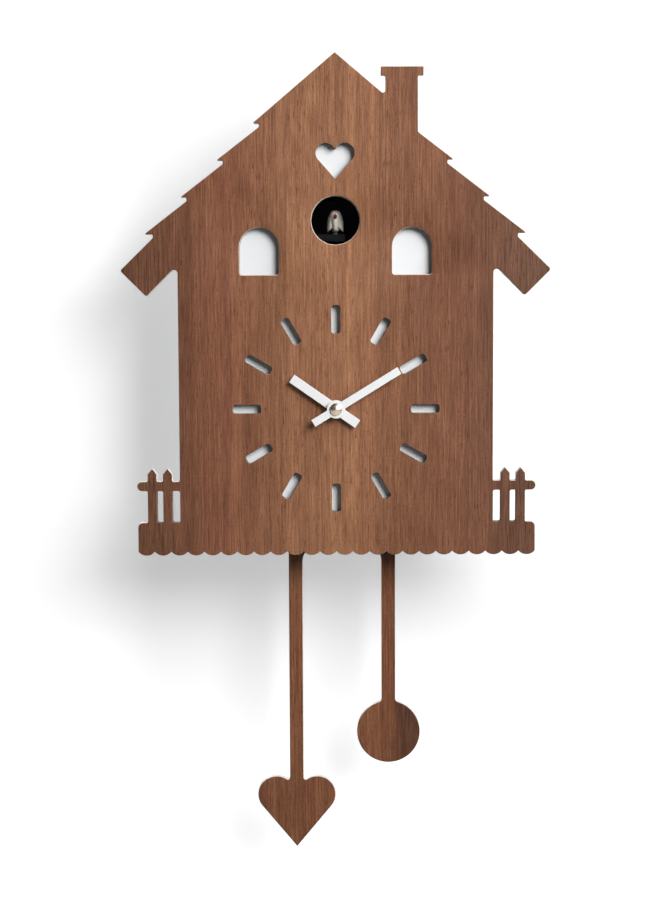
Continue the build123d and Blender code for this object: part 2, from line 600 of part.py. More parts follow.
drive = Plane(origin=(-3.2, GEAR_Y, DIAL_Z + GEAR_Z), x_dir=(0, 1, 0), z_dir=(1, 0, 0))
bird_gear = extrude(drive * gear(15, RACK_MODULE, 90.0), 6.4)
bird_gear += extrude(drive.offset(7.4) * gear(40, 0.5, -90.0 + 4.5), 2.0)
bird_gear += cross_disc(-3.2, 6.2, GEAR_Y, GEAR_Z, 2.4) + cross_disc(-7.5, 9.5, GEAR_Y, GEAR_Z, 1.0)
write("bird_gear", bird_gear)
spin = Plane(origin=(4.0, GEAR_Y, DIAL_Z + PINION_Z), x_dir=(0, 1, 0), z_dir=(1, 0, 0))
bird_pinion = extrude(spin * gear(10, 0.5, 90.0), 2.6)
bird_pinion += cross_disc(4.0, 16.0, GEAR_Y, PINION_Z, 0.9)
write("bird_motor_pinion", bird_pinion)
motor = cross_disc(9.5, 29.5, GEAR_Y, PINION_Z, 8.0) - cross_disc(9.5, 17.0, GEAR_Y, PINION_Z, 0.95)
write("bird_motor", motor)

BODY_Z = 131.6
bird = Pos(0, BIRD_Y, DIAL_Z + BODY_Z - 1.6) * scale(Sphere(1.0), (4.2, 9.0, 6.0))
bird += Pos(0, BIRD_Y - 5.0, DIAL_Z + BODY_Z + 3.0) * scale(Sphere(1.0), (4.1, 4.6, 4.6))
bird -= Pos(0, BIRD_Y, DIAL_Z + CHAMBER_LOW + 13.0) * Cylinder(1.0, 4.0)
bird -= Pos(0, BIRD_Y - 9.4, DIAL_Z + BODY_Z + 3.0) * Rot(90, 0, 0) * Cylinder(1.1, 2.0)
write("bird_body", bird)
beak = Pos(0, BIRD_Y - 10.1, DIAL_Z + BODY_Z + 3.0) * Rot(90, 0, 0) * Cone(1.1, 0.3, 3.4)
write("bird_beak", beak)
for side, name in ((-1, "left"), (1, "right")):
    shape = Plane(origin=(side * 4.7, BIRD_Y + 1.5, DIAL_Z + BODY_Z - 1.0), x_dir=(0, 1, 0), z_dir=(side, 0, 0))
    wing = extrude(shape * Ellipse(8.0, 5.6), 1.0)
    wing += disc(side * 5.2, BODY_Z + 3.6, 0.6, BIRD_Y + 4.5, BIRD_Y - 1.5)
    write(f"bird_wing_{name}", wing)


# --- the pendulum ----------------------------------------------------------------------------
def pendulum_sketch():
    rod_low = {ROD_LEFT: HEART_Z, ROD_RIGHT: DISC_Z}
    shape = Sketch() + Pos((ROD_LEFT + ROD_RIGHT) / 2, (BRIDGE_LOW + BRIDGE_HIGH) / 2) * Rectangle(
        ROD_RIGHT - ROD_LEFT + ROD_W, BRIDGE_HIGH - BRIDGE_LOW)
    for x, low in rod_low.items():
        shape += Pos(x, (low + BRIDGE_LOW) / 2) * Rectangle(ROD_W, BRIDGE_LOW - low)
    shape += Pos(0, (BRIDGE_HIGH - 50.0) / 2) * Rectangle(STEM_W, -50.0 - BRIDGE_HIGH)
    shape += Pos(ROD_RIGHT, DISC_Z) * Circle(DISC_R)
    shape += Pos(ROD_LEFT, HEART_Z) * heart(HEART_LOBE_R, HEART_LOBE_X, HEART_Z - HEART_TIP, 2.0)
    half = ROD_W / 2
    for x in (ROD_LEFT + half, ROD_RIGHT - half):
        shape = round_near(shape, x, BRIDGE_LOW, 12.0)
    for x in (ROD_LEFT - half, ROD_RIGHT + half):
        shape = round_near(shape, x, BRIDGE_HIGH, 6.0)
    for side in (-1, 1):
        shape = round_near(shape, side * STEM_W / 2, BRIDGE_HIGH, 4.0)
        shape = round_near(shape, side * STEM_W / 2, -50.0, 3.0)
    top = DISC_Z + math.sqrt(DISC_R ** 2 - half ** 2)
    for side in (-1, 1):
        shape = round_near(shape, ROD_RIGHT + side * half, top, 2.5)
    lobe_top = HEART_Z + math.sqrt(HEART_LOBE_R ** 2 - (HEART_LOBE_X - half) ** 2)
    for side in (-1, 1):
        shape = round_near(shape, ROD_LEFT + side * half, lobe_top, 1.5)
    return shape


PEND_SCREWS = (-56.0, -68.0)
pendulum = pendulum_sketch()
for z in PEND_SCREWS:
    pendulum -= Pos(0, z) * Circle(1.35)
pend_veneer_back = PEND_FRONT + VENEER
write("pendulum_board", slab(pendulum, PEND_BACK, pend_veneer_back))
write("pendulum_veneer", slab(pendulum, pend_veneer_back, PEND_FRONT))

ARM_BACK, ARM_LOW = -44.0, -73.0
arm_sketch = Pos(0, (PIVOT_Z + ARM_LOW) / 2) * rounded(STEM_W, PIVOT_Z - ARM_LOW, 2.0)
arm_sketch += Pos(0, PIVOT_Z) * Circle(6.0)
arm_sketch -= Pos(0, PIVOT_Z) * Circle(1.5 + RUN)
arm = slab(arm_sketch, ARM_BACK, PEND_BACK)
for z in PEND_SCREWS:
    arm -= disc(0, z, 1.25, -45.0, PEND_BACK)
write("swing_arm", arm)
write("pendulum_screws", *[front_screw(0, z, PEND_FRONT, 9.0) for z in PEND_SCREWS])
MAGNET_Z = -62.0
write("pendulum_magnet", disc(0, MAGNET_Z, 4.5, -41.0, ARM_BACK))

bracket = slab(Pos(0, PIVOT_Z) * rounded(28.0, 15.0, 3.0), SHELL_BACK, -32.0)
bracket += disc(0, PIVOT_Z, 4.5, -32.0, -43.0)
bracket -= disc(0, PIVOT_Z, 1.5, -34.0, -43.0)
write("pivot_bracket", bracket)
write("pivot_pin", disc(0, PIVOT_Z, 1.5, -34.0, -51.6))
clip = tube(0, PIVOT_Z, 3.4, 1.5, -50.3, -51.1)
write("pivot_clip", clip - block(-0.9, 0.9, -50.3, -51.1, PIVOT_Z - 4.0, PIVOT_Z))
write("drive_coil", tube(0, MAGNET_Z, 9.0, 4.0, SHELL_BACK, -36.0) + disc(0, MAGNET_Z, 3.9, SHELL_BACK, -35.0))
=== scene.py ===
# %% [markdown]
# # A wall cuckoo clock, one finish at a time
# The clock is a flat wooden house on a white case, with a bird behind a round door and one
# forked pendulum. Its working parts come from a measured model that is loaded first and is
# never moved. This lesson builds the looks round it: new meshes where the real piece has a
# softer edge or a carved form, and a finish made of nodes for every piece. All lengths are in
# metres, with x to the right, y to the back and z up; MM turns millimetres into metres.

# %% Load the measured model
import json
import math

import bmesh
import bpy
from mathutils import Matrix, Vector

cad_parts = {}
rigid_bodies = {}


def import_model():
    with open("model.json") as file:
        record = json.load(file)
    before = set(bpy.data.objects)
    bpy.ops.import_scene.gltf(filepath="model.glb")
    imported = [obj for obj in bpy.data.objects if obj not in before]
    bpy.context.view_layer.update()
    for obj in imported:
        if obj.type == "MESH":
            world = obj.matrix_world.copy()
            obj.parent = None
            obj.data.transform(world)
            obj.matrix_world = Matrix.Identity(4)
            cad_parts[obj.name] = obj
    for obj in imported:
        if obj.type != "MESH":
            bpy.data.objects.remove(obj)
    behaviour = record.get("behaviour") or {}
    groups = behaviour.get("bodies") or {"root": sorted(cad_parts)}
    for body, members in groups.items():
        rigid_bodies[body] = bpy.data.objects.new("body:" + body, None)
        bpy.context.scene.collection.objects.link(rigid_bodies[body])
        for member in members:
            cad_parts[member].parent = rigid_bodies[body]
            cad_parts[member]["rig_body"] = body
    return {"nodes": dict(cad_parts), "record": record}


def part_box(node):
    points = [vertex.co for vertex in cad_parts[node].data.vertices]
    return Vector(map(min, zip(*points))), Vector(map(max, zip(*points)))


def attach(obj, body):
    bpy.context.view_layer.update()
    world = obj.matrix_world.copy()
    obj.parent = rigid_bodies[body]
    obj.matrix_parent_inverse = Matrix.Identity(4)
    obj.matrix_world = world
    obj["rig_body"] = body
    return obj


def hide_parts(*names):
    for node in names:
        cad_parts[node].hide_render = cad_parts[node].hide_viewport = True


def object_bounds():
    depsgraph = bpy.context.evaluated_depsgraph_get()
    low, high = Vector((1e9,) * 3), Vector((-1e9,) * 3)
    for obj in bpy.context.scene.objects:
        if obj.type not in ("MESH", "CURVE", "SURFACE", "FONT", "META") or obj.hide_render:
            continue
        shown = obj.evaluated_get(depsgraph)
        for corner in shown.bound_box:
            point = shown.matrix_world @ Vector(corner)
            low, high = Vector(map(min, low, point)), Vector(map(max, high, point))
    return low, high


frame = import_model()
model_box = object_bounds()
nodes = frame["nodes"]
body_of_node = {o.name: o["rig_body"] for o in nodes.values()}
slot_of_node = {s["node"]: s["material_slot"] for s in frame["record"]["subparts"]}
MM = 0.001
print("pieces in the model:", len(nodes), "box:", [tuple(round(v, 4) for v in c) for c in model_box])

# %% [markdown]
# ## Small helpers for finishes
# A finish is a material made of nodes. Three short helpers keep the later cells readable: one
# starts a material, one adds a node with its settings, and one joins two sockets. Texture
# space is the object's own space in metres, so a pattern keeps its real size and stays with
# the piece when it swings or turns.

# %% Start a finish, add a node, join two sockets
def start_finish(name):
    finish = bpy.data.materials.new(name)
    finish.use_nodes = True
    return finish, finish.node_tree.nodes["Principled BSDF"]


# A setting is either the node's own, such as its operation, or the value of one of its sockets.
def add(finish, kind, **settings):
    node = finish.node_tree.nodes.new(kind)
    for key, value in settings.items():
        if hasattr(node, key):
            setattr(node, key, value)
        else:
            node.inputs[key.replace("_", " ").title()].default_value = value
    return node


def join(finish, out, into):
    finish.node_tree.links.new(out, into)


print("helpers:", ", ".join(helper.__name__ for helper in (start_finish, add, join)))

# %% [markdown]
# ## Grain in real millimetres
# The pattern of every finish sits in real millimetres. A Mapping node divides the position by
# the wanted grain size along each axis, so a noise with scale 1 has lumps of that size. A long
# size along one axis and a short one across it turns the lumps into fibres.

# %% Position divided by a grain size, and a noise on it
def grain_space(finish, size_mm, source=None):
    if source is None:
        source = add(finish, "ShaderNodeTexCoord").outputs["Object"]
    mapping = add(finish, "ShaderNodeMapping")
    mapping.inputs["Scale"].default_value = tuple(1000.0 / s for s in size_mm)
    join(finish, source, mapping.inputs["Vector"])
    return mapping.outputs["Vector"]


def noise(finish, size_mm, detail=2.0, roughness=0.5, source=None):
    texture = add(finish, "ShaderNodeTexNoise", scale=1.0, detail=detail, roughness=roughness)
    join(finish, grain_space(finish, size_mm, source), texture.inputs["Vector"])
    return texture.outputs["Fac"]


print("a 2 mm grain needs the scale", 1000.0 / 2.0)

# %% [markdown]
# ## From a pattern to a colour, a number or a bump
# A noise is only a number between 0 and 1. A ramp turns it into colours, a Map Range stretches
# the middle of it over the range that is wanted, and a Mix lays one colour over another. The
# same number can also tilt the surface, which is what a Bump node does for marks too fine to
# be worth a mesh.

# %% Turn a number into colours, or into another number
def ramp(finish, value, stops):
    node = add(finish, "ShaderNodeValToRGB")
    band = node.color_ramp
    while len(band.elements) < len(stops):
        band.elements.new(0.5)
    for element, (place, colour) in zip(band.elements, stops):
        element.position = place
        element.color = (*colour, 1.0)
    join(finish, value, node.inputs["Fac"])
    return node.outputs["Color"]


def spread(finish, value, low, high, to_low=0.0, to_high=1.0):
    node = add(finish, "ShaderNodeMapRange")
    for socket, number in zip(("From Min", "From Max", "To Min", "To Max"), (low, high, to_low, to_high)):
        node.inputs[socket].default_value = number
    join(finish, value, node.inputs["Value"])
    return node.outputs["Result"]


print("number helpers:", ramp.__name__, spread.__name__)


# %% Blend two colours, calculate with two numbers, and raise bumps
MIX_SHARE, MIX_FIRST, MIX_SECOND, MIX_COLOUR = 0, 6, 7, 2  # the colour sockets of a Mix node, by place


def blend_colours(finish, share, first, second, mode="MIX"):
    node = add(finish, "ShaderNodeMix", data_type="RGBA", blend_type=mode)
    for place, source in ((MIX_SHARE, share), (MIX_FIRST, first), (MIX_SECOND, second)):
        if isinstance(source, tuple):
            node.inputs[place].default_value = (*source, 1.0)
        elif isinstance(source, (int, float)):
            node.inputs[place].default_value = source
        else:
            join(finish, source, node.inputs[place])
    return node.outputs[MIX_COLOUR]


def calculate(finish, operation, first, second):
    node = add(finish, "ShaderNodeMath", operation=operation)
    for socket, source in zip(node.inputs, (first, second)):
        if isinstance(source, (int, float)):
            socket.default_value = source
        else:
            join(finish, source, socket)
    return node.outputs[0]


def raise_bumps(finish, shader, height, depth_mm, strength=1.0):
    node = add(finish, "ShaderNodeBump")
    node.inputs["Strength"].default_value = strength
    node.inputs["Distance"].default_value = depth_mm * MM
    join(finish, height, node.inputs["Height"])
    join(finish, node.outputs["Normal"], shader.inputs["Normal"])


print("colour helpers:", blend_colours.__name__, calculate.__name__, raise_bumps.__name__)

# %% [markdown]
# ## Walnut veneer
# The house and the pendulum are faced with real wood, sliced thin and laid with its grain
# upright. Up close it is four things at once: broad soft bands where the tree grew, fine
# fibres, short dark pores a few millimetres long, and some blacker streaks near the eaves.
# An image would do it, but a noise stretched along the grain has no seams, keeps its size,
# and goes round every cut-out. The position is first bent a little, so that no line is ruled.

# %% Bend the position so the grain wanders
GRAIN_WANDER = 1.1 * MM


def wandering_grain(finish):
    place = add(finish, "ShaderNodeTexCoord").outputs["Object"]
    drift = add(finish, "ShaderNodeTexNoise", scale=1.0, detail=2.0)
    join(finish, grain_space(finish, (26.0, 26.0, 95.0), place), drift.inputs["Vector"])
    centred = add(finish, "ShaderNodeVectorMath", operation="SUBTRACT")
    join(finish, drift.outputs["Color"], centred.inputs[0])
    centred.inputs[1].default_value = (0.5, 0.5, 0.5)
    sideways = add(finish, "ShaderNodeVectorMath", operation="MULTIPLY")
    join(finish, centred.outputs[0], sideways.inputs[0])
    sideways.inputs[1].default_value = (GRAIN_WANDER, 0.0, 0.0)
    bent = add(finish, "ShaderNodeVectorMath", operation="ADD")
    join(finish, place, bent.inputs[0])
    join(finish, sideways.outputs[0], bent.inputs[1])
    return place, bent.outputs[0]


print("the grain wanders by up to mm:", GRAIN_WANDER / MM / 2)

# %% [markdown]
# The colour is laid in layers, as a painter of false wood would do it. First comes the tone
# across the width, lighter in the heart of the sheet. Narrow strips then take the light a
# little differently, as leaves of veneer do. Five noises follow, from broad bands to the
# speckle of single cells, each with a darker and a lighter tint that multiplies what is there.

# %% The tone of narrow strips across the sheet, and the layers of grain
SHEET_HALF_WIDTH = 0.15
STRIPS = [(0.0, 0.97), (0.17, 1.03), (0.285, 0.97), (0.39, 1.04), (0.415, 1.0),
          (0.53, 1.03), (0.60, 0.96), (0.71, 1.02), (0.84, 0.97)]
# size in mm along x, y and z; detail; dark tint; light tint; where the ramp starts and ends
GRAIN_LAYERS = [
    ((7.0, 7.0, 300.0), 3.0, (0.84, 0.81, 0.80), (1.14, 1.15, 1.13), 0.30, 0.72),
    ((16.0, 16.0, 42.0), 3.0, (0.89, 0.86, 0.85), (1.10, 1.11, 1.11), 0.30, 0.72),
    ((1.35, 1.35, 130.0), 2.5, (0.80, 0.77, 0.76), (1.17, 1.18, 1.19), 0.30, 0.70),
    ((1.05, 1.05, 22.0), 2.5, (0.69, 0.64, 0.62), (1.25, 1.28, 1.30), 0.30, 0.70),
    ((0.85, 0.85, 1.7), 2.0, (0.84, 0.82, 0.80), (1.13, 1.14, 1.14), 0.30, 0.70)]
LONG_FIBRES = 2
print("strips:", len(STRIPS), "layers of grain:", len(GRAIN_LAYERS))


# %% The veneer's colour: a lighter heart of the sheet, soft bands and fine fibres
def veneer_colour(finish, place, bent, stops):
    apart = add(finish, "ShaderNodeSeparateXYZ")
    join(finish, place, apart.inputs[0])
    across = spread(finish, apart.outputs["X"], -SHEET_HALF_WIDTH, SHEET_HALF_WIDTH)
    colour = ramp(finish, across, stops)
    strips = ramp(finish, across, [(start, (tone,) * 3) for start, tone in STRIPS])
    strips.node.color_ramp.interpolation = "CONSTANT"
    colour = blend_colours(finish, 1.0, colour, strips, "MULTIPLY")
    grains = []
    for size, detail, dark, light, low, high in GRAIN_LAYERS:
        grains.append(noise(finish, size, detail, 0.6, bent))
        tint = ramp(finish, grains[-1], [(low, dark), (high, light)])
        colour = blend_colours(finish, 1.0, colour, tint, "MULTIPLY")
    return colour, grains[LONG_FIBRES], apart.outputs["X"]


print("layers in the colour:", len(GRAIN_LAYERS) + 2)

# %% [markdown]
# Pores are the open ends of the tree's vessels. They come from a noise drawn out along the
# grain, of which only the peaks are kept, and they stand thicker in some places than in
# others. Mineral streaks are longer and nearly black, and lie mostly in the outer parts of the
# sheet. A pore is also rough and a little sunk, so it takes less of the lamp than the wood.

# %% The veneer's pores, streaks and sheen
PORE_BROWN = (0.105, 0.034, 0.018)
STREAK_BLACK = (0.036, 0.022, 0.018)


def walnut_veneer(name, stops, streak_from, streak_to):
    finish, shader = start_finish(name)
    place, bent = wandering_grain(finish)
    colour, fibres, across = veneer_colour(finish, place, bent, stops)
    pores = noise(finish, (0.85, 0.85, 8.5), 1.0, 0.5, bent)
    crowd = noise(finish, (13.0, 13.0, 110.0), 1.0, 0.5, bent)
    open_pore = spread(finish, pores, 0.60, 0.71)
    pore_share = calculate(finish, "MULTIPLY", open_pore, spread(finish, crowd, 0.34, 0.62, 0.25, 0.85))
    colour = blend_colours(finish, pore_share, colour, PORE_BROWN)
    streaks = spread(finish, noise(finish, (0.75, 0.75, 19.0), 2.0, 0.5, bent), 0.57, 0.68)
    off_centre = calculate(finish, "ABSOLUTE", across, 0.0)
    where = spread(finish, off_centre, streak_from, streak_to, 0.06, 0.85)
    colour = blend_colours(finish, calculate(finish, "MULTIPLY", streaks, where), colour, STREAK_BLACK)
    join(finish, colour, shader.inputs["Base Color"])
    join(finish, spread(finish, open_pore, 0.0, 1.0, 0.50, 0.68), shader.inputs["Roughness"])
    shader.inputs["Specular IOR Level"].default_value = 0.18
    depth = calculate(finish, "SUBTRACT", calculate(finish, "MULTIPLY", fibres, 0.25), open_pore)
    raise_bumps(finish, shader, depth, 0.06, 0.5)
    return finish


print("pores:", PORE_BROWN, "streaks:", STREAK_BLACK)

# %% Two sheets: one for the house, a redder and darker one for the pendulum
HOUSE_SHEET = [
    (0.0, (0.167, 0.075, 0.042)), (0.14, (0.202, 0.086, 0.046)), (0.24, (0.240, 0.098, 0.053)),
    (0.40, (0.312, 0.146, 0.075)), (0.53, (0.325, 0.153, 0.078)), (0.62, (0.262, 0.116, 0.060)),
    (0.80, (0.203, 0.086, 0.047)), (1.0, (0.144, 0.071, 0.042))]
PENDULUM_SHEET = [
    (0.0, (0.230, 0.095, 0.046)), (0.40, (0.230, 0.095, 0.046)), (0.60, (0.222, 0.090, 0.042)),
    (0.622, (0.218, 0.085, 0.040)), (0.645, (0.132, 0.053, 0.028)), (1.0, (0.132, 0.053, 0.028))]
finishes = {"walnut_veneer": walnut_veneer("walnut_veneer", HOUSE_SHEET, 0.098, 0.130)}
finishes["walnut_pendulum"] = walnut_veneer("walnut_pendulum", PENDULUM_SHEET, 0.036, 0.050)
print("veneer nodes:", len(finishes["walnut_veneer"].node_tree.nodes))

# %% [markdown]
# ## Plain finishes with life in them
# Paint, moulded plastic and plated steel look flat at a glance, but each has its own small
# unevenness: orange peel in lacquer, a fine spark texture in plastic, a drawn grain in metal,
# and handling marks that change the gloss before they change the colour. One function makes
# them all from real sizes, so each finish is a line of numbers that can be compared.

# %% One recipe for paint, plastic and metal
def plain_finish(name, colour, roughness, metallic=0.0, grain_mm=(0.8, 0.8, 0.8), contrast=0.05,
                 mark_mm=14.0, bump_mm=0.01, gloss=0.5):
    finish, shader = start_finish(name)
    fine = noise(finish, grain_mm, 3.0, 0.55)
    marks = noise(finish, (mark_mm,) * 3, 4.0, 0.6)
    both = calculate(finish, "ADD", calculate(finish, "MULTIPLY", fine, 0.5),
                     calculate(finish, "MULTIPLY", marks, 0.5))
    dark = tuple(c * (1 - contrast) for c in colour)
    light = tuple(min(1.0, c * (1 + contrast)) for c in colour)
    join(finish, ramp(finish, both, [(0.32, dark), (0.68, light)]), shader.inputs["Base Color"])
    uneven = spread(finish, marks, 0.3, 0.7, roughness * 0.86, min(1.0, roughness * 1.16))
    join(finish, uneven, shader.inputs["Roughness"])
    shader.inputs["Metallic"].default_value = metallic
    shader.inputs["Specular IOR Level"].default_value = gloss
    raise_bumps(finish, shader, fine, bump_mm, 0.6)
    finishes[name] = finish
    return finish, shader


print("finishes before the plain ones:", sorted(finishes))

# %% [markdown]
# The numbers follow what such materials are like. White lacquer is bright and nearly even.
# Drawn steel has a fine grain along one axis, while plated sheet has coarser spangles. The two
# dark plastics differ mostly in gloss, and rubber has hardly any.

# %% Wood, paint, the edges of the boards and the painted shade in their cut-outs
def even(size_mm):
    return (size_mm,) * 3


plain_finish("white_board", (0.86, 0.87, 0.88), 0.42, grain_mm=even(1.6), contrast=0.015, bump_mm=0.012)
plain_finish("raw_wood", (0.56, 0.40, 0.25), 0.72, grain_mm=(0.7, 0.7, 12.0), contrast=0.20, bump_mm=0.06)
plain_finish("veneer_edge", (0.70, 0.57, 0.47), 0.6, grain_mm=even(0.5), contrast=0.14, bump_mm=0.02, gloss=0.25)
# painted shade: the walls of the cut-outs get this dark grey, which stands in for the shade inside the slots and
# windows
plain_finish("sawn_edge", (0.095, 0.095, 0.09), 0.7, grain_mm=even(0.4), contrast=0.12, bump_mm=0.03, gloss=0.2)
plain_finish("bird_white", (0.74, 0.68, 0.60), 0.55, grain_mm=(0.7, 0.7, 1.6), contrast=0.07, mark_mm=5.0,
             bump_mm=0.03)
plain_finish("beak_red", (0.24, 0.016, 0.012), 0.38, grain_mm=even(0.5), contrast=0.14, mark_mm=2.0, bump_mm=0.01)
print("finishes so far:", len(finishes))

# %% Metal: painted hands, drawn and plated steel, and the magnet
plain_finish("white_metal", (0.87, 0.875, 0.88), 0.36, grain_mm=even(0.5), contrast=0.012, mark_mm=6.0,
             bump_mm=0.004)
plain_finish("steel", (0.50, 0.50, 0.51), 0.34, 1.0, grain_mm=(0.12, 2.5, 0.12), contrast=0.10, bump_mm=0.004)
plain_finish("zinc_plate", (0.60, 0.61, 0.62), 0.40, 1.0, grain_mm=even(1.8), contrast=0.14, mark_mm=5.0,
             bump_mm=0.006)
plain_finish("dull_steel", (0.20, 0.185, 0.165), 0.5, 0.3, grain_mm=even(0.6), contrast=0.2, bump_mm=0.01)
plain_finish("magnet", (0.16, 0.16, 0.165), 0.48, 0.6, grain_mm=even(0.5), contrast=0.20, bump_mm=0.02)
print("finishes so far:", len(finishes))

# %% Moulded plastic and rubber
plain_finish("black_plastic", (0.0075, 0.0078, 0.0085), 0.38, grain_mm=even(0.35), contrast=0.22, bump_mm=0.02)
plain_finish("grey_plastic", (0.0055, 0.0058, 0.0065), 0.34, grain_mm=even(0.35), contrast=0.12, bump_mm=0.015,
             gloss=0.25)
plain_finish("rubber_pad", (0.035, 0.034, 0.033), 0.80, grain_mm=even(0.6), contrast=0.25, bump_mm=0.05, gloss=0.3)
print("finishes so far:", len(finishes))

# %% [markdown]
# ## Finishes with a pattern of their own
# Some pieces have a made pattern. The cap on the hands and the small wheels are turned on a
# lathe, which leaves rings round the centre, so a wave of rings is laid round the cap's own
# middle. Anisotropy draws the highlight out across the rings, as it does on a real turned face.

# %% Spun brass for the cap and the small wheels
def spun_brass():
    finish, shader = plain_finish("brass", (0.62, 0.53, 0.42), 0.36, 1.0, grain_mm=(1.2, 1.2, 1.2),
                                  contrast=0.10, mark_mm=3.0, bump_mm=0.003)
    lathe = add(finish, "ShaderNodeTexWave", wave_type="RINGS", rings_direction="Y", bands_direction="Y")
    cap_low, cap_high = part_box("hand_cap")
    shift = add(finish, "ShaderNodeVectorMath", operation="SUBTRACT")
    join(finish, add(finish, "ShaderNodeTexCoord").outputs["Object"], shift.inputs[0])
    shift.inputs[1].default_value = (cap_low + cap_high) / 2
    join(finish, shift.outputs[0], lathe.inputs["Vector"])
    lathe.inputs["Scale"].default_value = 900.0
    lathe.inputs["Distortion"].default_value = 0.6
    raise_bumps(finish, shader, lathe.outputs["Fac"], 0.004, 0.5)
    shader.inputs["Anisotropic"].default_value = 0.4


spun_brass()
print("finishes so far:", len(finishes))

# %% [markdown]
# Two materials let light in. A nylon wheel glows a little at its thin teeth, which is what
# subsurface scattering does. The light sensor looks out through a clear moulded eye, which is
# nearly all transmission, with the refraction of acrylic.

# %% Nylon that lets a little light in, and the clear eye of the light sensor
def nylon_wheel():
    finish, shader = plain_finish("white_gear", (0.78, 0.77, 0.73), 0.38, grain_mm=(0.5, 0.5, 0.5),
                                  contrast=0.03, bump_mm=0.008)
    shader.inputs["Subsurface Weight"].default_value = 0.25
    shader.inputs["Subsurface Radius"].default_value = (0.002, 0.0016, 0.0012)


def clear_eye():
    finish, shader = plain_finish("clear_lens", (0.80, 0.83, 0.86), 0.10, grain_mm=(1.0, 1.0, 1.0),
                                  contrast=0.02, mark_mm=3.0, bump_mm=0.002)
    shader.inputs["Transmission Weight"].default_value = 0.85
    shader.inputs["IOR"].default_value = 1.49


nylon_wheel()
clear_eye()
print("finishes so far:", len(finishes))

# %% [markdown]
# Inside, the circuit board has green varnish over copper tracks, the coil is wound, the
# loudspeaker's cone is pressed with rings, and a dry cell has a printed sleeve. Each is a plain
# finish with a second colour laid over it by one pattern, which also raises or sinks the
# surface a little. Square cells make the tracks, and waves make the other three.

# %% Tracks, windings, a pressed cone and a printed sleeve
def patterned(name, base, second, roughness, wave, size_mm, low, high, metallic=0.0, bump_mm=0.05):
    finish, shader = plain_finish(name, base, roughness, metallic, contrast=0.08, bump_mm=0.01)
    pattern = add(finish, wave)
    if wave == "ShaderNodeTexVoronoi":
        pattern.distance = "CHEBYCHEV"
        pattern.feature = "DISTANCE_TO_EDGE"
        out = pattern.outputs["Distance"]
    else:
        out = pattern.outputs["Fac"]
    pattern.inputs["Scale"].default_value = 1.0
    join(finish, grain_space(finish, size_mm), pattern.inputs["Vector"])
    share = spread(finish, out, low, high)
    first = shader.inputs["Base Color"].links[0].from_socket
    join(finish, blend_colours(finish, share, first, second), shader.inputs["Base Color"])
    raise_bumps(finish, shader, share, bump_mm, 0.5)


patterned("circuit_green", (0.012, 0.115, 0.045), (0.030, 0.205, 0.075), 0.30, "ShaderNodeTexVoronoi",
          (6.0, 6.0, 6.0), 0.04, 0.07)
patterned("copper_coil", (0.56, 0.22, 0.09), (0.30, 0.09, 0.035), 0.34, "ShaderNodeTexWave",
          (3.2, 3.2, 3.2), 0.35, 0.65, 0.9)
patterned("paper_cone", (0.055, 0.053, 0.050), (0.085, 0.082, 0.078), 0.85, "ShaderNodeTexWave",
          (12.0, 12.0, 12.0), 0.3, 0.7)
patterned("cell_wrap", (0.028, 0.045, 0.085), (0.50, 0.42, 0.24), 0.32, "ShaderNodeTexWave",
          (240.0, 900.0, 900.0), 0.72, 0.74, 0.3, 0.01)
print("all finishes:", sorted(finishes))

# %% [markdown]
# ## Reading the outline of a board
# The house front and the pendulum are flat boards with a cut outline. Their exact shape is in
# the measured model, so the lesson reads it instead of drawing it again: the faces that look
# forward are found, and the edges that only one of them has form closed loops, one for the
# outside and one for each cut-out.

# %% Closed loops round the forward faces
WELD = 0.002 * MM
SAME_PLANE = 0.01 * MM


def forward_loops(node):
    mesh = bmesh.new()
    mesh.from_mesh(nodes[node].data)
    bmesh.ops.remove_doubles(mesh, verts=mesh.verts, dist=WELD)
    front_y = min(v.co.y for v in mesh.verts)
    front = {f for f in mesh.faces
             if f.normal.y < -0.9 and abs(f.calc_center_median().y - front_y) < SAME_PLANE}
    rim = [e for e in mesh.edges if sum(f in front for f in e.link_faces) == 1]
    links = {}
    for e in rim:
        for a, b in (e.verts, reversed(e.verts)):
            links.setdefault(a, []).append(b)
    loops = []
    while links:
        start = next(iter(links))
        loop, here, before = [], start, None
        while True:
            loop.append((here.co.x, here.co.z))
            following = [v for v in links.pop(here) if v is not before]
            before, here = here, following[0]
            if here is start or here not in links:
                break
        loops.append(loop)
    mesh.free()
    return loops, front_y


def area_of(loop):
    return sum(a[0] * b[1] - b[0] * a[1] for a, b in zip(loop, loop[1:] + loop[:1])) / 2


print("loops of the front board:", len(forward_loops("front_board")[0]))

# %% [markdown]
# ## Shrinking an outline
# The loops run so that the wood is always on their left: the outside one way round, the
# cut-outs the other way. Moving each corner along the middle of its two edges' left-hand
# sides then shrinks the wood by an even margin, which gives both the soft arris of the
# painted board and the slightly smaller sheet of veneer.

# %% Put the wood on the left, then step inwards
def ordered(loops):
    largest = max(loops, key=lambda loop: abs(area_of(loop)))
    return [loop if (area_of(loop) > 0) == (loop is largest) else loop[::-1] for loop in loops]


def stepped_in(loop, margin):
    moved = []
    for before, here, after in zip(loop[-1:] + loop[:-1], loop, loop[1:] + loop[:1]):
        a = Vector((here[0] - before[0], here[1] - before[1])).normalized()
        b = Vector((after[0] - here[0], after[1] - here[1])).normalized()
        left = Vector((-a.y - b.y, a.x + b.x))
        if left.length < 1e-6:  # the outline turns straight back, so there is no middle to move along
            moved.append(here)
            continue
        left.normalize()
        reach = margin / max(0.5, left.dot(Vector((-a.y, a.x))))
        moved.append((here[0] + left.x * reach, here[1] + left.y * reach))
    return moved


unit_square = [(0.0, 0.0), (1.0, 0.0), (1.0, 1.0), (0.0, 1.0)]
print("a unit square stepped in by 0.1 has the area", round(area_of(stepped_in(unit_square, 0.1)), 3))
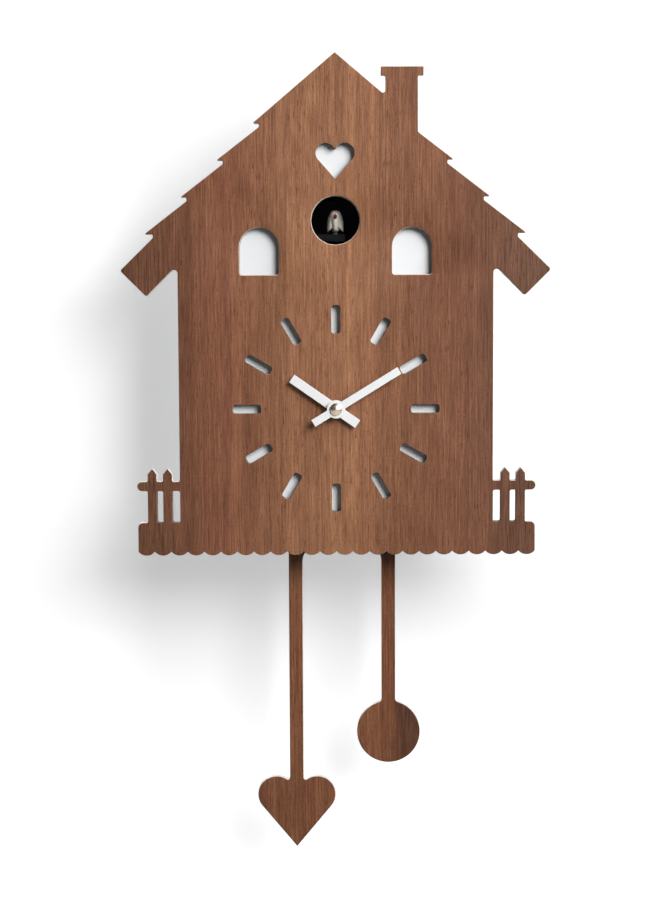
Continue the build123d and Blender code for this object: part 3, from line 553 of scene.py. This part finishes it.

# %% [markdown]
# ## From a working mesh to a piece of the clock
# Every new piece ends in the same two steps. The first turns the working mesh into an object,
# with smooth shading that stops at sharp edges, and puts its finish on it. The second puts the
# piece on the moving body of the measured part it stands in for, and hides that part.

# %% Finish a mesh, and give it its place in the clock
def finish_mesh(mesh, name, node_finish, smooth_angle=32.0):
    bmesh.ops.recalc_face_normals(mesh, faces=mesh.faces)
    data = bpy.data.meshes.new(name)
    mesh.to_mesh(data)
    mesh.free()
    data.polygons.foreach_set("use_smooth", [True] * len(data.polygons))
    data.set_sharp_from_angle(angle=math.radians(smooth_angle))
    data.materials.append(node_finish)
    piece = bpy.data.objects.new(name, data)
    bpy.context.scene.collection.objects.link(piece)
    return piece


def give(piece, node):
    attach(piece, body_of_node[node])
    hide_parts(node)
    return piece


print("material slots in the model:", len(set(slot_of_node.values())))

# %% [markdown]
# ## Cutting a board
# A board is a stack of rings: the back edge, the side, and a quarter round that ends in the
# front face. The side walls join ring to ring, and the two flat faces are filled between the
# outer loop and the cut-outs. The outside edge has a soft arris. The door and the two windows
# are rubbed down a little more, and the heart, the fences and the hour marks hardly at all, so
# the inset of the rings is scaled for each loop. The walls of the cut-outs are a dark grey that
# is painted shade, so that the slots and windows look deep in shade, and the rim shows the pale
# edge of the veneer.

# %% How much arris each loop gets, by its size
OUTSIDE_RIM, LARGE_RIM, SMALL_RIM = 1.0, 1.5, 0.3
LARGE_OPENING = 6e-4  # in square metres: the door and the windows are larger, the heart is smaller
# slot 1 is the painted shade on the walls of the cut-outs, slot 2 the pale rim
CUT_WALL_SHADE, EDGED = 1, 2  # material slots of a board after the paint, which is slot 0
QUARTER_ROUND_LEVEL = 2  # the levels below it are the back edge and the straight side


def rim_share(loop, outside):
    if loop is outside:
        return OUTSIDE_RIM
    return LARGE_RIM if abs(area_of(loop)) > LARGE_OPENING else SMALL_RIM


opening_sizes = sorted(abs(area_of(loop)) * 1e4 for loop in forward_loops("front_board")[0])[:-1]
print("the largest openings in square cm:", [round(size, 1) for size in opening_sizes[-4:]])


# %% Build a board from its loops
def cut_board(name, loops, rings, node_finish, cut_finish=None, rim_finish=None):
    mesh = bmesh.new()
    outside = max(loops, key=lambda loop: abs(area_of(loop)))
    stacks = []
    for plain, loop in zip(loops, ordered(loops)):
        share = rim_share(plain, outside)
        stacks.append([[mesh.verts.new((x, y, z)) for x, z in stepped_in(loop, inset * share)]
                       for y, inset in rings])
    for stack, loop in zip(stacks, loops):
        for level, (low, high) in enumerate(zip(stack, stack[1:])):
            for i in range(len(low)):
                j = (i + 1) % len(low)
                side = mesh.faces.new((low[i], low[j], high[j], high[i]))
                if cut_finish and level >= QUARTER_ROUND_LEVEL:
                    side.material_index = EDGED
                elif cut_finish and loop is not outside:
                    side.material_index = CUT_WALL_SHADE
    for end in (0, -1):
        edges = [mesh.edges.get((ring[i], ring[(i + 1) % len(ring)]))
                 for ring in (stack[end] for stack in stacks) for i in range(len(ring))]
        bmesh.ops.triangle_fill(mesh, use_beauty=True, use_dissolve=False, edges=edges)
    board = finish_mesh(mesh, name, node_finish, 20.0)
    if cut_finish:
        board.data.materials.append(cut_finish)
        board.data.materials.append(rim_finish)
    return board


print("walls of a cut-out use material", CUT_WALL_SHADE, "and the rim uses", EDGED)

# %% [markdown]
# ## The house front and the pendulum
# Both are a painted board under a thin sheet of veneer. The board's quarter round is four
# rings at even steps of the angle. The sheet is cut back by the same arris, so the board's
# pale edge shows round it as a fine line, and its own corner is only just broken.

# %% Lay a sheet of veneer on a painted board
ARRIS = 0.28 * MM
VENEER_ARRIS = 0.10 * MM


def faced_board(board, veneer, veneer_finish):
    loops, paint_y = forward_loops(board)
    back_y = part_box(board)[1].y
    skin_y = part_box(veneer)[0].y
    quarter = [(paint_y + ARRIS * (1 - math.sin(t)), ARRIS * (1 - math.cos(t)))
               for t in (math.radians(a) for a in (0, 30, 60, 90))]
    body = cut_board(board + "_painted", loops, [(back_y, ARRIS / 2), (back_y - ARRIS / 2, 0.0)] + quarter,
                     finishes["white_board"], finishes["sawn_edge"], finishes["veneer_edge"])
    give(body, board)
    soft = VENEER_ARRIS
    sheet = cut_board(veneer + "_laid", loops, [(paint_y, ARRIS), (skin_y + soft, ARRIS),
                      (skin_y + soft * 0.3, ARRIS + soft * 0.3), (skin_y, ARRIS + soft)], veneer_finish)
    give(sheet, veneer)
    print(board, "loops", len(loops), "corners", sum(map(len, loops)), "faces", len(body.data.polygons))


faced_board("front_board", "front_veneer", finishes["walnut_veneer"])
faced_board("pendulum_board", "pendulum_veneer", finishes["walnut_pendulum"])

# %% [markdown]
# ## Softened edges on made parts
# Nothing that is sawn, pressed or moulded has a perfectly sharp edge, and it is the thin
# highlight along the edge that tells the eye so. A sharp-edged copy of a part is cleaned of
# its flat seams, and a Bevel modifier then rounds only the edges that turn by more than a
# set angle. The copy stands in for the sharp one and rides on the same moving body.

# %% A rounded copy of a part
def eased(node, width_mm, segments=2, turn=28.0):
    mesh = bmesh.new()
    mesh.from_mesh(nodes[node].data)
    bmesh.ops.remove_doubles(mesh, verts=mesh.verts, dist=WELD)
    bmesh.ops.dissolve_limit(mesh, angle_limit=math.radians(1.0), verts=mesh.verts, edges=mesh.edges)
    piece = finish_mesh(mesh, node + "_eased", finishes[slot_of_node[node]])
    bevel = piece.modifiers.new("ease", "BEVEL")
    bevel.width = width_mm * MM
    bevel.segments = segments
    bevel.limit_method = "ANGLE"
    bevel.angle_limit = math.radians(turn)
    bevel.harden_normals = True
    bevel.use_clamp_overlap = True
    return give(piece, node)


print("edges that turn by more than", eased.__defaults__[1], "degrees get", eased.__defaults__[0], "faces")

# %% Which parts are eased, by the width of the edge in mm
EASED = {
    0.5: ("bird_carriage", "case_side_left", "case_side_right", "case_roof_left", "case_roof_right",
          "case_floor", "back_panel", "corner_blocks", "hanger_block"),
    0.35: ("backing_board", "bird_housing", "movement_rear_cover", "movement_front_shell",
           "battery_door", "speaker_frame", "set_knob", "volume_knob", "wall_pads", "battery_cells"),
    0.15: ("hour_hand", "minute_hand", "mode_switch", "demo_button", "hanger_plate", "hanger_screws",
           "back_panel_screws", "movement_screws", "pivot_bracket", "swing_arm", "pendulum_screws", "shaft_nut",
           "pendulum_magnet", "train_plate", "circuit_board", "battery_contacts", "bird_motor", "clock_motor"),
}
for width, names in EASED.items():
    for name in names:
        eased(name, width)
print("eased parts:", sum(map(len, EASED.values())))

# %% [markdown]
# ## The turned cap on the hands
# A small brass cone holds the minute hand. It is a lathe job, so it is made like one: a
# profile of a few points is swept round the axis. A shallow cone with a rolled rim gives one
# bright wedge of light, which a flat disc never would. Where the profile meets the axis, the
# ring shrinks to one point, and the faces beside it become triangles.

# %% Sweep a profile round an axis that looks forward
def turned(name, profile, centre, node_finish, sides=72):
    mesh = bmesh.new()
    rings = []
    for radius, y in profile:
        if radius == 0:
            rings.append([mesh.verts.new((centre[0], y, centre[1]))])
            continue
        rings.append([mesh.verts.new((centre[0] + radius * math.cos(math.tau * i / sides), y,
                                      centre[1] + radius * math.sin(math.tau * i / sides))) for i in range(sides)])
    for low, high in zip(rings, rings[1:]):
        for i in range(sides):
            j = (i + 1) % sides
            corners = [low[i % len(low)], low[j % len(low)], high[j % len(high)], high[i % len(high)]]
            mesh.faces.new(list(dict.fromkeys(corners)))
    return finish_mesh(mesh, name, node_finish)


print("a turned piece has", turned.__defaults__[0], "sides")

# %% The cap: a low cone with a rolled rim
low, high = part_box("hand_cap")
cap_radius = (high.x - low.x) / 2
cap_centre = ((low.x + high.x) / 2, (low.z + high.z) / 2)
cap_profile = [
    (0, high.y), (cap_radius * 0.94, high.y), (cap_radius, high.y - 0.25 * MM), (cap_radius, high.y - 0.75 * MM),
    (cap_radius * 0.95, high.y - 1.0 * MM), (cap_radius * 0.5, (low.y + high.y) / 2 - 0.55 * MM),
    (cap_radius * 0.10, low.y + 0.10 * MM), (0, low.y)]
give(turned("hand_cap_turned", cap_profile, cap_centre, finishes["brass"]), "hand_cap")
print("cap radius mm:", round(cap_radius / MM, 2))

# %% [markdown]
# ## The bird
# The little bird is moulded and painted off-white. It stands upright, so its body is lofted
# from level ovals, one above the other, each with its own width, breast and back. A
# subdivision surface joins them into one soft form. Sculpting would do as well, but a short
# table of ovals can be measured and changed.

# %% Join rings of points into one soft form
def lofted(name, rings, node_finish):
    mesh = bmesh.new()
    rings = [[mesh.verts.new(point) for point in ring] for ring in rings]
    for first, second in zip(rings, rings[1:]):
        for i in range(len(first)):
            j = (i + 1) % len(first)
            mesh.faces.new((first[i], first[j], second[j], second[i]))
    mesh.faces.new(rings[0])
    mesh.faces.new(rings[-1])
    piece = finish_mesh(mesh, name, node_finish, 180.0)
    rounding = piece.modifiers.new("round", "SUBSURF")
    rounding.levels = rounding.render_levels = 2
    return piece


def level_oval(z, half_width, front_y, back_y, sides=16):
    middle_y, half_depth = (front_y + back_y) / 2, (back_y - front_y) / 2
    return [(half_width * math.cos(math.tau * i / sides), middle_y + half_depth * math.sin(math.tau * i / sides), z)
            for i in range(sides)]


print("points round a level oval:", len(level_oval(0.0, 1.0, -1.0, 1.0)))

# %% The body: a round hood for the head, a narrow breast, and a tail behind
low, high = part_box("bird_body")
# height, half width, breast and back, each as a share of the body's own size
BODY_LEVELS = [
    (0.998, 0.26, 0.150, 0.33), (0.965, 0.62, 0.085, 0.40), (0.88, 0.92, 0.025, 0.50), (0.76, 1.06, 0.000, 0.62),
    (0.62, 1.06, 0.000, 0.76), (0.47, 0.96, 0.005, 0.90), (0.33, 0.88, 0.020, 0.97), (0.20, 0.80, 0.050, 0.99),
    (0.09, 0.70, 0.100, 0.92), (0.025, 0.54, 0.18, 0.76), (0.0, 0.30, 0.28, 0.62)]
rings = [level_oval(low.z + up * (high.z - low.z), wide * high.x, low.y + front * (high.y - low.y),
                    low.y + back * (high.y - low.y)) for up, wide, front, back in BODY_LEVELS]
give(lofted("bird_body_moulded", rings, finishes["bird_white"]), "bird_body")
print("bird mm:", round((high.y - low.y) / MM, 1), "long", round((high.z - low.z) / MM, 1), "tall")

# %% [markdown]
# A wing is a thin curved leaf that wraps the bird's side: round at the shoulder, pointed at
# the tip, with its front edge drawn in over the breast. Each row of points runs round the
# side from the front edge to the back. A Solidify modifier gives it thickness, and
# subdivision softens its rim.

# %% The rows of a wing, from the shoulder to the tip
# in mm: how far down, the front edge's and the side's distance from the middle, and how far
# in front of or behind the wing's middle the row starts and ends
WING_ROWS = [
    (-0.2, 3.0, 4.2, -7.6, -0.5), (-1.9, 2.2, 5.0, -8.2, 2.0), (-4.0, 1.8, 5.4, -8.4, 3.6),
    (-6.2, 1.8, 5.6, -8.3, 4.2), (-8.4, 2.1, 5.7, -8.0, 3.8), (-10.1, 2.8, 5.75, -7.4, 2.4),
    (-11.3, 4.2, 5.6, -6.0, 0.4), (-12.2, 5.2, 5.5, -4.6, -2.4)]
WING_POINTS = 8
WRAP = 1.7  # how early a row reaches the side: above 1 it turns sharply over the breast
print("wing length mm:", WING_ROWS[0][0] - WING_ROWS[-1][0])


# %% Two leaf-shaped wings
def wing(side, node):
    low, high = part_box(node)
    outer = max(abs(low.x), abs(high.x)) / MM
    mid_y = (low.y + high.y) / 2 / MM
    mesh = bmesh.new()
    grid = []
    for down, inner, edge, front, back in WING_ROWS:
        row = []
        for k in range(WING_POINTS):
            turn = k / (WING_POINTS - 1)
            x = inner + (min(edge, outer) - inner) * math.sin(min(1.0, turn * WRAP) * math.pi / 2)
            y = mid_y + front + (back - front) * (1 - math.cos(turn * math.pi / 2))
            row.append(mesh.verts.new((side * x * MM, y * MM, high.z + down * MM)))
        grid.append(row)
    for upper, lower in zip(grid, grid[1:]):
        for k in range(WING_POINTS - 1):
            mesh.faces.new((upper[k], upper[k + 1], lower[k + 1], lower[k]))
    piece = finish_mesh(mesh, node + "_leaf", finishes["bird_white"], 180.0)
    thick = piece.modifiers.new("thick", "SOLIDIFY")
    thick.thickness = 0.45 * MM
    thick.offset = 0.0
    rounding = piece.modifiers.new("round", "SUBSURF")
    rounding.levels = rounding.render_levels = 2
    return give(piece, node)


for side, node in ((-1, "bird_wing_left"), (1, "bird_wing_right")):
    print(wing(side, node).name, "rides on", body_of_node[node])

# %% [markdown]
# The beak is the same kind of loft, but its ovals look forward. It starts as a deep keel under
# the hood, and closes to a blunt point that also drops a little. The bird is carried on a thin
# post with a collar, which is lofted from level rings like the body.

# %% The red beak: a deep keel at the root that closes to a blunt point
def forward_oval(y, z, half_width, half_height, sides=12):
    return [(half_width * math.cos(math.tau * i / sides), y, z + half_height * math.sin(math.tau * i / sides))
            for i in range(sides)]


low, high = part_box("bird_beak")
beak_z = (low.z + high.z) / 2
BEAK_DROP = 0.3 * MM
rings = [forward_oval(high.y - out * (high.y - low.y), beak_z - BEAK_DROP * out,
                      (1.4 - 0.95 * out) * MM, (2.2 - 1.5 * out) * MM)
         for out in (0.0, 0.25, 0.5, 0.75, 0.92, 1.0)]
give(lofted("bird_beak_painted", rings, finishes["beak_red"]), "bird_beak")
print("beak mm:", round((high.y - low.y) / MM, 1), "long")

# %% The post under the bird, with a collar
low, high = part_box("bird_post")
post_y = (low.y + high.y) / 2
POST_RADII_MM = ((0.0, 1.55), (0.60, 1.55), (0.62, 1.9), (0.74, 1.9), (0.80, 1.6), (1.0, 1.55))
rings = [level_oval(low.z + up * (high.z - low.z), wide * MM, post_y - wide * MM, post_y + wide * MM)
         for up, wide in POST_RADII_MM]
give(lofted("bird_post_turned", rings, finishes["dull_steel"]), "bird_post")
print("post mm:", round((high.z - low.z) / MM, 1), "tall")

# %% [markdown]
# ## Every other part keeps its mesh and gets its finish
# The wheels and pins inside are right as they were measured. They only need their
# finish, which is put into the material slot of the part. The pieces that were made again are
# hidden by now, so the ones still visible are those that are left.

# %% Put a finish on each remaining part
kept = [o for o in nodes.values() if not o.hide_render]
for part in kept:
    part.data.materials.clear()
    part.data.materials.append(finishes[slot_of_node[part.name]])
print("kept as measured:", len(kept))

# %% [markdown]
# ## Wall and floor
# The clock hangs on a white wall. From behind, the wall would hide the clock, so it is only
# drawn from its front side and lets light through from its back. The wall also glows a little,
# and more so to the left and further down: this glow is painted light, which lifts the clock's
# shadow on the wall and makes the long shadow fade into white. The floor is pale and plain.

# %% Plain sheets for the wall and the floor
def plain_sheet(name, corners, node_finish):
    data = bpy.data.meshes.new(name)
    data.from_pydata(corners, [], [(0, 1, 2, 3)])
    data.materials.append(node_finish)
    sheet = bpy.data.objects.new(name, data)
    bpy.context.scene.collection.objects.link(sheet)
    return sheet


print("the clock's back stands at y =", round(model_box[1].y, 4))

# %% [markdown]
# The wall's two fades are smooth steps of its painted light, from the house's left edge outwards
# and from the pendulum's rods down to the heart, where they wash the clock's shadow out to white.
# The Light Path node shows the paint only to the camera and only from the front; for every other
# ray the wall is clear, so the rear lamp still reaches the clock's back when it is seen from behind.

# %% Wall paint that is drawn from the front only
# painted light: the wall glows by this much at the clock, and more to the left and low down, which lifts its shadow
PAINTED_LIGHT_AT_CLOCK, PAINTED_LIGHT_AT_LEFT, PAINTED_LIGHT_LOW_DOWN = 0.46, 0.64, 0.36
PAINTED_LIGHT_LEFT_FADE = (-0.130, -0.190)
PAINTED_LIGHT_DOWN_FADE = (-0.30, -0.50)


def wall_paint():
    finish, shader = start_finish("wall_paint")
    uneven = noise(finish, (60.0, 60.0, 60.0), 3.0)
    tone = ramp(finish, uneven, [(0.3, (0.565, 0.565, 0.567)), (0.7, (0.575, 0.575, 0.577))])
    join(finish, tone, shader.inputs["Base Color"])
    shader.inputs["Roughness"].default_value = 0.95
    shader.inputs["Specular IOR Level"].default_value = 0.0
    shader.inputs["Emission Color"].default_value = (1.0, 1.0, 1.0, 1.0)
    apart = add(finish, "ShaderNodeSeparateXYZ")
    join(finish, add(finish, "ShaderNodeTexCoord").outputs["Object"], apart.inputs[0])
    # painted light: these fades raise the wall's glow where the clock's shadow falls to the left and below
    painted_light_leftwards = spread(finish, apart.outputs["X"], *PAINTED_LIGHT_LEFT_FADE, PAINTED_LIGHT_AT_CLOCK, PAINTED_LIGHT_AT_LEFT)
    painted_light_downwards = spread(finish, apart.outputs["Z"], *PAINTED_LIGHT_DOWN_FADE, 0.0, PAINTED_LIGHT_LOW_DOWN)
    for value in (painted_light_leftwards, painted_light_downwards):
        value.node.interpolation_type = "SMOOTHSTEP"
    join(finish, calculate(finish, "ADD", painted_light_leftwards, painted_light_downwards), shader.inputs["Emission Strength"])
    seen = add(finish, "ShaderNodeLightPath").outputs["Is Camera Ray"]
    behind = add(finish, "ShaderNodeNewGeometry").outputs["Backfacing"]
    shown = calculate(finish, "SUBTRACT", seen, behind)
    clear = add(finish, "ShaderNodeBsdfTransparent")
    mix = add(finish, "ShaderNodeMixShader")
    join(finish, shown, mix.inputs[0])
    join(finish, clear.outputs[0], mix.inputs[1])
    join(finish, shader.outputs[0], mix.inputs[2])
    join(finish, mix.outputs[0], finish.node_tree.nodes["Material Output"].inputs["Surface"])
    return finish


print("the wall fades to the left by m:", round(PAINTED_LIGHT_LEFT_FADE[0] - PAINTED_LIGHT_LEFT_FADE[1], 3))

# %% Hang the wall behind the clock and lay the floor
floor_finish, floor_shader = plain_finish("floor_paint", (0.50, 0.50, 0.50), 0.9, grain_mm=(3.0, 3.0, 3.0),
                                          contrast=0.01, gloss=0.0)
floor_shader.inputs["Emission Color"].default_value = (1.0, 1.0, 0.99, 1.0)
floor_shader.inputs["Emission Strength"].default_value = 0.52
FLOOR_Z, WALL_Y, WIDE = -0.85, 0.0006, 3.2
wall_corners = [(-WIDE, WALL_Y, FLOOR_Z), (WIDE, WALL_Y, FLOOR_Z), (WIDE, WALL_Y, WIDE), (-WIDE, WALL_Y, WIDE)]
floor_corners = [(-WIDE, -WIDE, FLOOR_Z), (WIDE, -WIDE, FLOOR_Z), (WIDE, WIDE, FLOOR_Z), (-WIDE, WIDE, FLOOR_Z)]
plain_sheet("wall", wall_corners, wall_paint())
plain_sheet("floor", floor_corners, floor_finish).visible_diffuse = False
print("wall behind the clock by mm:", WALL_Y / MM, "floor below it by m:", round(model_box[0].z - FLOOR_Z, 3))

# %% [markdown]
# ## Light
# The key lamp is a square soft box high on the right, and it throws the long shadow to the
# lower left. A larger and softer box further to the side brightens the walls of the cut-outs
# and softens the shadow's edge. A third stands behind for views of the back. A dim even
# surround fills what they leave, while the camera sees it as nearly white.

# %% A square soft box that looks at a point
def softbox(name, place, aim, size, power):
    data = bpy.data.lights.new(name, "AREA")
    data.shape = "SQUARE"
    data.size = size
    data.energy = power
    lamp = bpy.data.objects.new(name, data)
    lamp.location = place
    lamp.rotation_mode = "QUATERNION"
    lamp.rotation_quaternion = (Vector(place) - Vector(aim)).to_track_quat("Z", "Y")
    bpy.context.scene.collection.objects.link(lamp)


middle = (model_box[0] + model_box[1]) / 2
dial = Vector((0, -0.085, -0.19))  # the point on the house front that both front lamps look at
softbox("key_lamp", dial + Vector((0.66, -1.0, 0.60)).normalized() * 1.8, dial, 0.85, 27.6)
softbox("side_lamp", dial + Vector((1.25, -0.85, 0.85)).normalized() * 1.6, dial, 1.6, 21.0)
softbox("rear_lamp", (-0.9, 1.3, 0.5), middle, 1.2, 22.0)

# %% An even surround: dim for the clock, nearly white for the camera
FILL_LIGHT, SEEN_WHITE = 0.065, 0.93
surround = bpy.data.worlds.new("surround")
surround.use_nodes = True
sky = surround.node_tree.nodes["Background"]
sky.inputs["Strength"].default_value = FILL_LIGHT
bright = surround.node_tree.nodes.new("ShaderNodeBackground")
bright.inputs["Strength"].default_value = SEEN_WHITE
path = surround.node_tree.nodes.new("ShaderNodeLightPath")
choose = surround.node_tree.nodes.new("ShaderNodeMixShader")
for node in (sky, bright):
    node.inputs["Color"].default_value = (1.0, 1.0, 1.0, 1.0)
surround.node_tree.links.new(path.outputs["Is Camera Ray"], choose.inputs[0])
surround.node_tree.links.new(sky.outputs[0], choose.inputs[1])
surround.node_tree.links.new(bright.outputs[0], choose.inputs[2])
surround.node_tree.links.new(choose.outputs[0], surround.node_tree.nodes["World Output"].inputs["Surface"])
bpy.context.scene.world = surround
bpy.context.scene.view_settings.view_transform = "Standard"
print("surround:", FILL_LIGHT, "as light and", SEEN_WHITE, "as seen")

# %% [markdown]
# ## The camera
# It stands a little over a metre in front, slightly above the middle, and looks down by a few
# degrees. A long lens keeps the house square. The small roll is that of a camera levelled by
# eye.

# %% Place the camera
lens = bpy.data.cameras.new("camera")
lens.lens = 65.6
lens.sensor_width = 36.0
camera = bpy.data.objects.new("camera", lens)
camera.location = (-0.0009, -1.2313, -0.1016)
down, roll = math.radians(4.6), math.radians(-0.24)
camera.rotation_euler = (math.pi / 2 - down, 0.0, 0.0)
camera.rotation_euler.rotate_axis("Z", roll)
bpy.context.scene.collection.objects.link(camera)
bpy.context.scene.camera = camera
print("camera at", [round(v, 3) for v in camera.location], "with a lens of", lens.lens, "mm")
